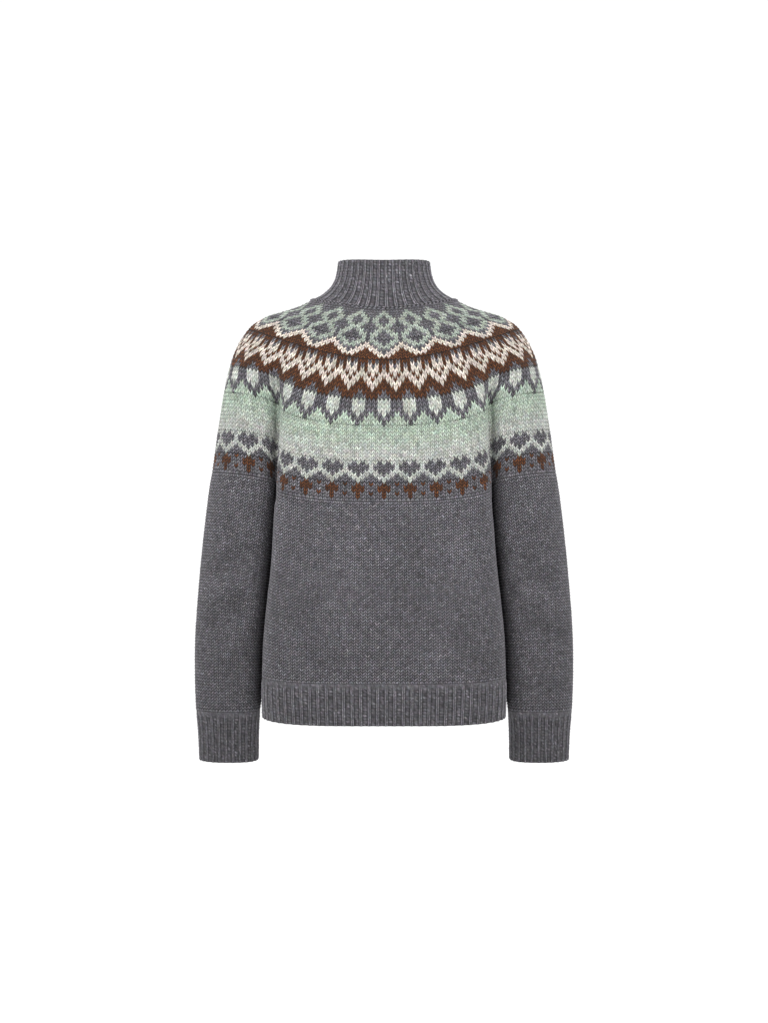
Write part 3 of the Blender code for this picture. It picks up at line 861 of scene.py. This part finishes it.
@dataclass
class KnitPiece:
    """A knitted piece of the garment, a closed shell of cloth on its solid's form."""

    node: str
    slot: str
    outside: bpy.types.Material
    inside: bpy.types.Material
    flat: tuple[float, float]  # width and height as cut, in metres
    area: float  # of the cut, in square metres
    seed: int
    closed: bool = True  # whether it is a tube
    creases: tuple[Crease, ...] = ()
    stitch: Stitch = Stitch()
    band_gap: float = 0.2  # rows at a band's end that are left for its join to the next
    spread: float = 0.13  # how unlike each other its stitches' colours are
    light: tuple[float, float] = (1.0, 1.0)  # painted share of light at the piece's top and bottom
    depth: tuple[float, float] = (1.0, 1.0)  # power and gain of the painted shade in dark yarn
    inner_mm: float = 8.0  # rows of the inside are this far apart
    inner_steps: int = 72  # along each of them
    # painted shade of the inside, which lies in the garment's own shade
    inside_painted_shade: float = 0.8
    level_mm: float = 3.0  # levels at which the form is measured are this far apart
    length: float = 250.0

    def curve(self, share: float) -> np.ndarray:
        """Draw the solid's outside at a share of the way down, anticlockwise."""
        raise NotImplementedError

    def line(self, share: float) -> np.ndarray:
        """Draw the same, with a ring's first point again at its end."""
        line = self.curve(share)
        return np.concatenate((line, line[:1])) if self.closed else line

    def bands(self) -> list[Band]:
        """List the piece's bands of knitting, from the top."""
        raise NotImplementedError

    def creased(self, rows: list[np.ndarray]) -> tuple[np.ndarray, np.ndarray]:
        """Lay the creases in rows of points.

        Args:
            rows: The rows, on the smooth form.

        Returns:
            The points with the creases, and the normals without them.
        """
        grid = np.array(rows)
        normals = grid_normals(grid, self.closed)
        for crease in self.creases:
            grid = grid + normals * crease.lift(grid)[..., None]
        return grid, normals

    def surface(self, places: np.ndarray, top: float, bottom: float) -> Surface:
        """Measure the smooth form at places along each level.

        Args:
            places: Shares of each level's own length.
            top: The first level, as a share of the way down the piece.
            bottom: The last level.

        Returns:
            The surface there.
        """
        count = max(int((bottom - top) * self.length / self.level_mm), 4)
        levels = np.clip(np.linspace(top, bottom, count), 0.0, 1.0)
        around = places % 1.0 if self.closed else places
        grid, _ = self.creased([at_shares(self.line(level), around) for level in levels])
        return Surface(top, bottom, grid, grid_normals(grid, self.closed))

    def knit(self, mesh: KnitMesh, band: Band, dice: np.random.Generator, ends: tuple) -> Rows:
        """Knit a band's outside.

        Args:
            mesh: The mesh that it goes in.
            band: The band.
            dice: The seeded source of small differences.
            ends: Whether the band starts and ends at an edge of the piece.

        Returns:
            Its rows.
        """
        own, across = self.stitch, len(self.stitch.full)
        rounds, count = len(band.chart), band.stitches * across
        columns = np.arange(count if self.closed else count + 1)
        places = (columns - across // 2) / count if self.closed else columns / count
        phase = columns % across
        lines = np.arange(rounds * 2 + 1) / 2
        slant = np.full(len(lines), own.slant)
        for at_edge, end, inwards in zip(ends, (0, -1), (1, -1)):
            if at_edge:
                slant[end], slant[end + inwards] = 0.0, own.slant / 2
            else:
                lines[end] += inwards * self.band_gap
        height = (band.bottom - band.top) / rounds
        tilt = 0.5 - np.abs(phase * 2 / across - 1)
        levels = np.clip(band.top + height * (lines[:, None] + slant[:, None] * tilt), 0.0, 1.0)
        margin = 2 * height  # as slanted legs reach past the band
        smooth = self.surface(places, max(band.top - margin, 0.0), min(band.bottom + margin, 1.0))
        points, normals = smooth.at(levels)
        full = (np.arange(len(lines)) % 2 == 1)[:, None]
        relief = by_line(full, own.full, own.neck, phase)
        relief = relief + dice.normal(0.0, own.ruffle, relief.shape)
        # painted shade in the gaps and holes, painted highlight on the legs
        shade = by_line(full, own.full_shade, own.neck_shade, phase)
        # painted shade along an edge grafted to the next piece
        for at_edge, end in zip(ends, (0, -1)):
            if at_edge:
                shade[end], relief[end] = own.edge_shade, own.edge
        lift = sum((crease.lift(points) for crease in self.creases), np.zeros(levels.shape))
        # painted light and shade: from the piece's top to its bottom, lighter on rolls, darker in hollows
        shade = shade * np.interp(levels, (0.0, 1.0), self.light) * np.exp(HOLLOW_SHADE * lift)
        shade = shade * np.exp(dice.normal(0.0, own.heather, shade.shape))
        index = mesh.add_points(points + normals * relief[..., None], shade)
        legs = np.repeat(np.repeat(band.colours(dice, self.spread), across, axis=1), 2, axis=0)
        mesh.add_quads(index, self.closed, legs, False)
        return Rows(index, places, legs)

    def knit_outside(self, mesh: KnitMesh, dice: np.random.Generator) -> list[Rows]:
        """Knit the whole outside.

        Args:
            mesh: The mesh that it goes in.
            dice: The seeded source of small differences.

        Returns:
            The rows of each band.
        """
        bands = self.bands()
        last = len(bands) - 1
        knitted = [self.knit(mesh, band, dice, (k == 0, k == last)) for k, band in enumerate(bands)]
        for above, below in zip(knitted, knitted[1:]):
            mesh.join(above.row(-1), below.row(0), self.closed)
        return knitted

    def inner_curve(self, share: float) -> np.ndarray:
        """Draw the inside's points at a share of the way down, before they move inwards."""
        places = np.linspace(0.0, 1.0, self.inner_steps + 1)[: -1 if self.closed else None]
        return at_shares(self.line(share), places)

    def inner_tints(self) -> tuple[tuple[float, str], ...]:
        """Give the inside's yarns by the share of the way down at which each starts."""
        return ((0.0, "G"),)

    def line_inside(self, mesh: KnitMesh) -> np.ndarray:
        """Add the wrong side of the cloth.

        Args:
            mesh: The mesh that it goes in.

        Returns:
            Its rows of points.
        """
        levels = np.linspace(0.0, 1.0, max(int(self.length / self.inner_mm), 4))
        grid, normals = self.creased([self.inner_curve(level) for level in levels])
        index = mesh.add_points(grid - normals * WALL)
        tints = self.inner_tints()
        starts = np.array([start for start, _ in tints])
        letters = [tints[int(np.sum(starts <= level)) - 1][1] for level in levels[:-1]]
        # the inside's yarn colours carry painted shade
        colours = np.array([linear(Yarn[letter].value) * self.inside_painted_shade for letter in letters])
        mesh.add_quads(index, self.closed, colours[:, None, :], True)
        return index

    def close(self, mesh: KnitMesh, top: Rows, bottom: Rows, inner: np.ndarray) -> None:
        """Join the outside to the inside round the top and bottom edges.

        Args:
            mesh: The mesh that they are in.
            top: The rows that start at the top edge.
            bottom: The rows that end at the bottom edge.
            inner: The inside's rows of points.
        """
        places = np.arange(inner.shape[1]) / (inner.shape[1] if self.closed else inner.shape[1] - 1)
        for line, outer in ((0, top.row(0)), (-1, bottom.row(-1))):
            edges = outer, Rows(inner[line], places, outer.colours[:1])
            mesh.join(*(edges if line else edges[::-1]), self.closed)

    def close_sides(self, mesh: KnitMesh, outer: np.ndarray, inner: np.ndarray, tint: np.ndarray) -> None:
        """Join the outside to the inside down the two side edges of an open piece.

        Args:
            mesh: The mesh that they are in.
            outer: The outside's rows of points.
            inner: The inside's rows of points.
            tint: The colour of the edges.
        """
        for side in (0, -1):
            edges = [
                Rows(rows[:, side], np.linspace(0.0, 1.0, len(rows)), tint[None, :])
                for rows in (outer, inner)
            ]
            mesh.join(*(edges[::-1] if side else edges), False)

    def build(self) -> bpy.types.Object:
        """Returns:
            Its object.
        """
        dice = np.random.default_rng(self.seed)
        mesh = KnitMesh(depth=self.depth)
        knitted = self.knit_outside(mesh, dice)
        inner = self.line_inside(mesh)
        self.close(mesh, knitted[0], knitted[-1], inner)
        if not self.closed:
            outer = np.concatenate([rows.index for rows in knitted])
            self.close_sides(mesh, outer, inner, knitted[0].colours[0, 0])
        piece = mesh.make(f"knit_{self.node}", (self.outside, self.inside))
        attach(piece, "root")
        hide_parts(self.node)
        triangles = sum(face.loop_total - 2 for face in piece.data.polygons)
        LOG.info("%s: %d triangles", piece.name, triangles)
        return piece


def whole_ring(rows: tuple, share: float, shares: np.ndarray) -> np.ndarray:
    """Draw a level of the collar or yoke, anticlockwise from the middle of the back.

    Args:
        rows: The piece's table.
        share: How far down it the level lies.
        shares: Places on each quarter of the ring.

    Returns:
        The ring's points, the first not repeated.
    """
    row = read_row(rows, share)
    back, front = ring_quarter(row, False, shares), ring_quarter(row, True, shares)[::-1]
    return np.concatenate(
        (
            (back * (1, -1, 1))[:-1],
            front[:-1],
            (front[::-1] * (-1, 1, 1))[:-1],
            (back[::-1] * (-1, -1, 1))[:-1],
        )
    )


def tube_ring(front: np.ndarray, back: np.ndarray, hand: int) -> np.ndarray:
    """Draw a level of a sleeve or cuff, anticlockwise.

    Args:
        front: Its front, from the outer side to the inner side.
        back: Its back, with depths counted as on the front.
        hand: 1 on the right and -1 on the left.

    Returns:
        The ring's points, the first not repeated.
    """
    ring = np.concatenate((front[:-1], (back[::-1] * (1, -1, 1))[:-1]))
    return ring if hand > 0 else ring[::-1] * (-1, 1, 1)


def half_line(quarter: np.ndarray, front: bool) -> np.ndarray:
    """Mirror a quarter of the body or hem band to its front or back, anticlockwise."""
    facing = 1 if front else -1
    return np.concatenate(((quarter[::-1] * (facing, facing, 1))[:-1], quarter * (-facing, facing, 1)))


def body_quarter(rows: tuple, share: float, front: bool) -> tuple[np.ndarray, np.ndarray]:
    """Draw a quarter of a level of the body or hem band, from the middle to the side.

    Args:
        rows: The piece's table.
        share: How far down it the level lies.
        front: Whether it is on the front.

    Returns:
        Points (x, depth), and the level of the hem's top edge at each.
    """
    row = read_row(rows, share)
    depth = row.front_y if front else row.back_y
    plan = at_shares(superellipse(row.half_width, depth, row.power), QUARTER)
    return plan, HEM_TOP_Z + HEM_SIDE_RISE * (plan[:, 0] / row.half_width) ** HEM_RISE_POWER


@dataclass
class Yoke(KnitPiece):
    """The round yoke in stranded colours, with a fold before and behind each sleeve."""

    length: float = 282.0
    # deeper painted shade in dark yarn
    depth: tuple[float, float] = (2.2, 1.12)
    inner_mm: float = 16.0
    inside_painted_shade: float = 0.7  # deeper painted shade, and dulled by the floats across it
    inner_counts: tuple[int, int] = (15, 12)  # on the body's and the sleeve's share of a quarter
    bunching: float = 1.25  # how much closer together those lie at the fold

    def curve(self, share: float) -> np.ndarray:
        """Draw the solid's outside at a share of the way down, anticlockwise."""
        return whole_ring(YOKE_ROWS, share, RING)

    def inner_curve(self, share: float) -> np.ndarray:
        """Draw the inside's points, closer together at the folds.

        Args:
            share: How far down the yoke they lie.

        Returns:
            The points, before they move inwards.
        """
        before, after = (np.linspace(0.0, 1.0, count) for count in self.inner_counts)
        body = BODY_EDGE * (1 - (1 - before) ** self.bunching)
        sleeve = SLEEVE_EDGE + (1 - SLEEVE_EDGE) * after**self.bunching
        return whole_ring(YOKE_ROWS, share, np.concatenate((body, (FOLD_SHARE,), sleeve)))

    def bands(self) -> list[Band]:
        """List the yoke's bands.

        Returns:
            The bands, from the neck down.
        """
        bands, top = [], 0.0
        for stitches, bottom, chart, repeat, first in (
            (160, 61.4, [*PLAIN, *DIAMONDS], 8, 0),
            (160, 90.0, PEAKS, 8, 0),
            (216, 143.5, ZIGZAG, 6, 3),
            (216, 179.0, SHIELDS, 6, 3),
            (234, 227.0, FADE, 6, 0),
            (234, 256.0, HEARTS, 6, 0),
            (234, 282.0, [*CROSSES, *PLAIN], 6, 0),
        ):
            bands.append(Band(stitches, top, bottom / self.length, chart, repeat, first))
            top = bottom / self.length
        return bands

    def inner_tints(self) -> tuple[tuple[float, str], ...]:
        """Give the inside's yarns by the share of the way down at which each starts."""
        return ((0.0, "G"), (0.06, "M"), (0.3, "B"), (0.5, "G"), (0.62, "L"), (0.8, "P"), (0.9, "G"))


@dataclass
class PlainPiece(KnitPiece):
    """A piece in plain grey."""

    stitches: int = 80
    rounds: int = 62
    stitch: Stitch = PLAIN_GREY
    spread: float = 0.11

    def bands(self) -> list[Band]:
        """List the one plain band."""
        return [Band(self.stitches, 0.0, 1.0, PLAIN * self.rounds)]


@dataclass
class BodyHalf(PlainPiece):
    """The back or the front of the body."""

    front: bool = False
    closed: bool = False
    length: float = 250.0
    # painted light, darker towards the bottom
    light: tuple[float, float] = (0.91, 0.77)

    def fold(self) -> float:
        """Find the fold's place on a quarter of the highest section.

        Returns:
            A share of the quarter's length, from the middle.
        """
        base = YOKE_ROWS[-1]
        depth = base.front_y if self.front else base.back_y
        section = superellipse(BODY_TOP_HALF_WIDTH, depth, BODY_TOP_POWER)
        return length_at_depth(section, base.valley_y) / lengths(section)[-1]

    def curve(self, share: float) -> np.ndarray:
        """Draw the solid's outside, anticlockwise.

        Args:
            share: How far down the half it lies.

        Returns:
            The points, from one side seam to the other.
        """
        plan, bottom = body_quarter(BODY_ROWS, share, self.front)
        fold = self.fold()
        top = top_edge_z(self.front, BODY_EDGE * np.minimum(QUARTER / fold, 1.0), QUARTER, fold)
        return half_line(np.column_stack((plan, top * (1 - share) + bottom * share)), self.front)


@dataclass
class Sleeve(PlainPiece):
    """A sleeve, a tube."""

    hand: int = 1
    length: float = 310.0
    stitches: int = 58
    rounds: int = 78
    # painted light, darker towards the bottom
    light: tuple[float, float] = (0.88, 0.72)

    def side(self, share: float, front: bool) -> np.ndarray:
        """Draw half a level.

        Args:
            share: How far down the sleeve it lies.
            front: Whether it is on the front.

        Returns:
            Points (x, depth, z), from the outer side to the inner side.
        """
        plan = at_shares(sleeve_half(read_row(SLEEVE_ROWS, share)), HALF)
        highest = sleeve_half(SLEEVE_ROWS[0])
        fold = sleeve_length_to_fold(highest, YOKE_ROWS[-1].valley_y) / lengths(highest)[-1]
        met = 1 - (1 - SLEEVE_EDGE) * np.minimum(HALF / fold, 1.0)
        z = top_edge_z(front, met, HALF, fold) * (1 - share) + CUFF_TOP_Z * share
        return np.column_stack((plan, z))

    def curve(self, share: float) -> np.ndarray:
        """Draw the solid's outside at a share of the way down, anticlockwise."""
        return tube_ring(self.side(share, True), self.side(share, False), self.hand)


@dataclass(frozen=True)
class Rib:
    """The relief of one-by-one rib over the solid's smooth surface, in millimetres.

    Across a rib lie the edge of a wale, its two legs with the cleft between them, its other
    edge, and two columns of the recess in which the purl bumps lie.
    """

    places: tuple[float, ...] = (0.06, 0.17, 0.265, 0.36, 0.47, 0.65, 0.86)
    full: tuple[float, ...] = (-1.1, 0.7, -0.2, 0.7, -1.1, -0.7, -0.7)
    neck: tuple[float, ...] = (-1.2, 0.4, -0.4, 0.4, -1.2, -1.3, -1.3)
    # painted highlight on the legs, painted shade at the edges, in the cleft and in the recess
    full_shade: tuple[float, ...] = (0.2, 2.0, 0.15, 2.0, 0.2, 0.85, 0.85)
    neck_shade: tuple[float, ...] = (0.15, 1.7, 0.1, 1.7, 0.15, 0.5, 0.5)
    heather: tuple[float, ...] = (0.2, 0.22, 0.2, 0.22, 0.2, 0.4, 0.4)
    slant: tuple[float, ...] = (0.0, 0.1, 0.45, 0.1, 0.0, 0.0, 0.0)
    start_lines: float = 5.0  # half rows over which ribs rise out of the plain knitting
    start_shade: float = 0.85  # painted share of light where they start


@dataclass
class RibPiece(KnitPiece):
    """A piece in one-by-one rib."""

    ribs: int = 40
    rounds: int = 16
    rib: Rib = Rib()
    from_plain: bool = True  # whether the ribs rise out of plain knitting at the top
    stitch: Stitch = PLAIN_GREY

    def knit_outside(self, mesh: KnitMesh, dice: np.random.Generator) -> list[Rows]:
        """Knit the outside.

        Args:
            mesh: The mesh that it goes in.
            dice: The seeded source of small differences.

        Returns:
            Its rows, as of one band.
        """
        own, across = self.rib, len(self.rib.places)
        phase = np.arange(self.ribs * across)
        places = (phase // across + np.array(own.places)[phase % across]) / self.ribs
        phase = phase % across
        if not self.closed:
            places = np.concatenate(([0.0], places, [1.0]))
            phase = np.concatenate(([across - 1], phase, [across - 1]))
        lines = np.arange(self.rounds * 2 + 1)
        fade = np.minimum(np.minimum(lines, lines[::-1]) / 2, 1.0)[:, None]
        levels = (lines[:, None] / 2 + np.array(own.slant)[phase] * fade) / self.rounds
        points, normals = self.surface(places, 0.0, 1.0).at(np.clip(levels, 0.0, 1.0))
        full = (lines % 2 == 1)[:, None]
        relief = by_line(full, own.full, own.neck, phase)
        # painted shade and painted highlight across each rib
        shade = by_line(full, own.full_shade, own.neck_shade, phase)
        if self.from_plain:
            risen = np.clip(lines / own.start_lines, 0.0, 1.0)[:, None]
            level, light = self.stitch.edge, own.start_shade
            relief, shade = level + (relief - level) * risen, light + (shade - light) * risen
        relief = relief + dice.normal(0.0, self.stitch.ruffle, relief.shape)
        grain = dice.normal(0.0, 1.0, shade.shape) * np.array(own.heather)[phase]
        # painted light and shade, from the piece's top to its bottom
        shade = shade * np.interp(levels, (0.0, 1.0), self.light) * np.exp(grain)
        index = mesh.add_points(points + normals * relief[..., None], shade)
        columns = len(places) if self.closed else len(places) - 1
        legs = dice.normal(1.0, self.spread, (self.rounds, columns, 1)) * linear(Yarn.G.value)
        colours = np.repeat(legs, 2, axis=0)
        mesh.add_quads(index, self.closed, colours, False)
        return [Rows(index, places, colours)]


@dataclass
class Collar(RibPiece):
    """The stand collar, linked to the yoke by a chain of loops."""

    length: float = 66.0
    # painted light, brighter than the other pieces
    light: tuple[float, float] = (1.1, 1.1)
    from_plain: bool = False
    links: int = 96
    chain_width: float = 5.0
    chain_lean: float = 0.6  # how far ahead the middle of the chain lies, in links
    chain_swell: float = 0.3  # how far every second leg stands out and the others lie back
    chain_light: tuple[float, float] = (0.05, 1.7)  # painted shade on the one leg and painted highlight on the other
    above_seam: float = 0.93  # a level of the collar that shows which way is up at its foot
    # Across the chain, from its upper edge: place, height over the seam and painted share of light
    chain_section: tuple[tuple[float, float, float], ...] = (
        (0.5, -1.2, 0.15),
        (0.25, 1.9, 1.6),
        (0.0, 0.6, 0.2),
        (-0.25, 1.9, 1.6),
        (-0.5, -1.2, 0.15),
        (0.0, -2.0, 0.2),
    )

    def curve(self, share: float) -> np.ndarray:
        """Draw the solid's outside at a share of the way down, anticlockwise."""
        return whole_ring(COLLAR_ROWS, share, RING)

    def chain(self) -> bpy.types.Object:
        """Lay the chain of loops along the seam, a row of V stitches on its side.

        Returns:
            The chain, a piece of its own.
        """
        dice = np.random.default_rng(self.seed)
        along = np.arange(self.links * 2)
        rings = [self.line(share) for share in (1.0, self.above_seam)]
        rows = []
        for side, height, _ in self.chain_section:
            tilt = 1 - abs(2 * side)
            places = ((along / 2 + self.chain_lean * tilt) / self.links) % 1.0
            seam, above = (at_shares(line, places) for line in rings)
            up = above - seam
            up /= np.linalg.norm(up, axis=1, keepdims=True)
            ahead = np.roll(seam, -1, axis=0) - np.roll(seam, 1, axis=0)
            out = np.cross(-up, ahead)
            out /= np.linalg.norm(out, axis=1, keepdims=True)
            lobe = height + self.chain_swell * (2 * (along % 2) - 1)
            rows.append(seam + up * side * self.chain_width + out * lobe[:, None])
        # painted shade and painted highlight along the chain
        shades = np.array([shade for _, _, shade in self.chain_section])
        mesh = KnitMesh()
        index = mesh.add_points(np.array(rows), shades[:, None] * np.array(self.chain_light)[along % 2])
        index = np.concatenate((index, index[:1]))
        shape = (len(index) - 1, self.links, 1)
        colours = dice.normal(1.0, self.spread, shape) * linear(Yarn.G.value)
        mesh.add_quads(index, True, np.repeat(colours, 2, axis=1), False)
        piece = mesh.make("collar_chain", (self.outside,))
        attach(piece, "root")
        return piece

    def build(self) -> bpy.types.Object:
        """Build the collar and the chain along its base."""
        self.chain()
        return super().build()


@dataclass
class HemBand(RibPiece):
    """Half of the hem band."""

    front: bool = False
    closed: bool = False
    length: float = HEM_HEIGHT
    # painted light, darker towards the bottom
    light: tuple[float, float] = (0.84, 0.79)
    ribs: int = 44
    rounds: int = 14

    def curve(self, share: float) -> np.ndarray:
        """Draw the solid's outside at a share of the way down, anticlockwise."""
        plan, top = body_quarter(HEM_ROWS, share, self.front)
        return half_line(np.column_stack((plan, top - HEM_HEIGHT * share)), self.front)


@dataclass
class Cuff(RibPiece):
    """A cuff."""

    hand: int = 1
    length: float = CUFF_HEIGHT
    # painted shade, darker than the sleeve and towards the bottom
    light: tuple[float, float] = (0.74, 0.64)
    ribs: int = 26
    rounds: int = 17

    def curve(self, share: float) -> np.ndarray:
        """Draw the solid's outside, anticlockwise.

        Args:
            share: How far down the cuff it lies.

        Returns:
            The ring's points, the first not repeated.
        """
        half = at_shares(sleeve_half(read_row(CUFF_ROWS, share)), HALF)
        side = np.column_stack((half, np.full(len(half), CUFF_TOP_Z - CUFF_HEIGHT * share)))
        return tube_ring(side, side, self.hand)


@dataclass(frozen=True)
class Lamp:
    """A soft area light, in metres and watts."""

    name: str
    place: tuple[float, float, float]
    size: float
    power: float


@dataclass
class Studio:
    """Pale floor, soft light and the camera level with the middle of the garment."""

    aim_z: float = -0.296
    distance: float = 2.2
    view_height: float = 1.4527  # what the frame's height takes in at the garment
    sensor_mm: float = 36.0
    air: float = 1.06  # strength of the white light from all round
    floor_z: float = -1.2
    floor_half: float = 60.0
    floor_colour: str = "#fdfdfd"
    floor_roughness: float = 0.9
    lamps: tuple[Lamp, ...] = (
        Lamp("key", (-1.1, -2.2, 2.0), 1.6, 42.0),
        Lamp("fill", (1.8, -2.6, 0.6), 2.0, 14.0),
        Lamp("behind", (0.3, 2.6, 1.6), 2.0, 30.0),
    )

    def place_camera(self) -> None:
        """Set the camera level with the middle of the garment, facing its back."""
        data = bpy.data.cameras.new("camera")
        data.sensor_width = self.sensor_mm
        data.lens = self.sensor_mm * self.distance / self.view_height
        camera = show("camera", data)
        camera.location = (0.0, -self.distance, self.aim_z)
        camera.rotation_euler = (math.pi / 2, 0.0, 0.0)
        bpy.context.scene.camera = camera

    def light_garment(self) -> None:
        """Hang the lamps, turned to the garment, in white air."""
        for lamp in self.lamps:
            light = bpy.data.lights.new(lamp.name, "AREA")
            light.size = lamp.size
            light.energy = lamp.power
            stand = show(lamp.name, light)
            stand.location = lamp.place
            aim = Vector((0.0, 0.0, self.aim_z)) - Vector(lamp.place)
            stand.rotation_euler = aim.to_track_quat("-Z", "Y").to_euler()
        world = bpy.data.worlds.new("studio_air")
        world.use_nodes = True
        background = world.node_tree.nodes["Background"].inputs
        background["Color"].default_value = (1.0, 1.0, 1.0, 1.0)
        background["Strength"].default_value = self.air
        bpy.context.scene.world = world

    def lay_floor(self) -> None:
        """Lay the floor, matt white paper."""
        mesh = bpy.data.meshes.new("studio_floor")
        half = self.floor_half
        corners = [(x * half, y * half, self.floor_z) for x, y in ((-1, -1), (1, -1), (1, 1), (-1, 1))]
        mesh.from_pydata(corners, [], [(0, 1, 2, 3)])
        paper = bpy.data.materials.new("matt_paper_white")
        paper.use_nodes = True
        shader = paper.node_tree.nodes["Principled BSDF"].inputs
        shader["Base Color"].default_value = (*linear(self.floor_colour), 1.0)
        shader["Roughness"].default_value = self.floor_roughness
        mesh.materials.append(paper)
        show("studio_floor", mesh)

    def build(self) -> None:
        """Set up the camera, the light and the floor."""
        bpy.context.scene.view_settings.view_transform = "Standard"
        self.place_camera()
        self.light_garment()
        self.lay_floor()


def main() -> None:
    """Build the sweater's pieces in order, then the studio."""
    grey = WoolKnit("wool_heather_grey_plain_knit").material()
    rib = WoolKnit("wool_heather_grey_rib").material()
    stranded = WoolKnit("wool_stranded_yoke", mottle=0.2).material()
    purl = PurlSide("wool_purl_side").material()
    plain, ribbed = ("body_knit", grey, purl), ("rib_knit", rib, purl)
    pieces: list[KnitPiece] = [
        Collar("collar", *ribbed, (0.56, 0.075), 0.038, 1),
        Yoke("yoke", "yoke_knit", stranded, purl, (1.39, 0.295), 0.315, 2),
        BodyHalf("body_back", *plain, (0.509, 0.262), 0.126, 3, creases=BACK_CREASES),
        BodyHalf("body_front", *plain, (0.509, 0.256), 0.1235, 4, creases=FRONT_CREASES, front=True),
        Sleeve("sleeve_right", *plain, (0.366, 0.335), 0.1105, 5, creases=RIGHT_SLEEVE_CREASES),
        Sleeve("sleeve_left", *plain, (0.366, 0.335), 0.1105, 6, creases=LEFT_SLEEVE_CREASES, hand=-1),
        HemBand("hem_back", *ribbed, (0.505, 0.057), 0.0285, 7),
        HemBand("hem_front", *ribbed, (0.505, 0.057), 0.0285, 8, front=True),
        Cuff("cuff_right", *ribbed, (0.279, 0.071), 0.0195, 9),
        Cuff("cuff_left", *ribbed, (0.279, 0.071), 0.0195, 10, hand=-1),
    ]
    for piece in pieces:
        piece.build()
    Studio().build()


if __name__ == "__main__":
    logging.basicConfig(level=logging.INFO, format="%(name)s: %(message)s")
    main()
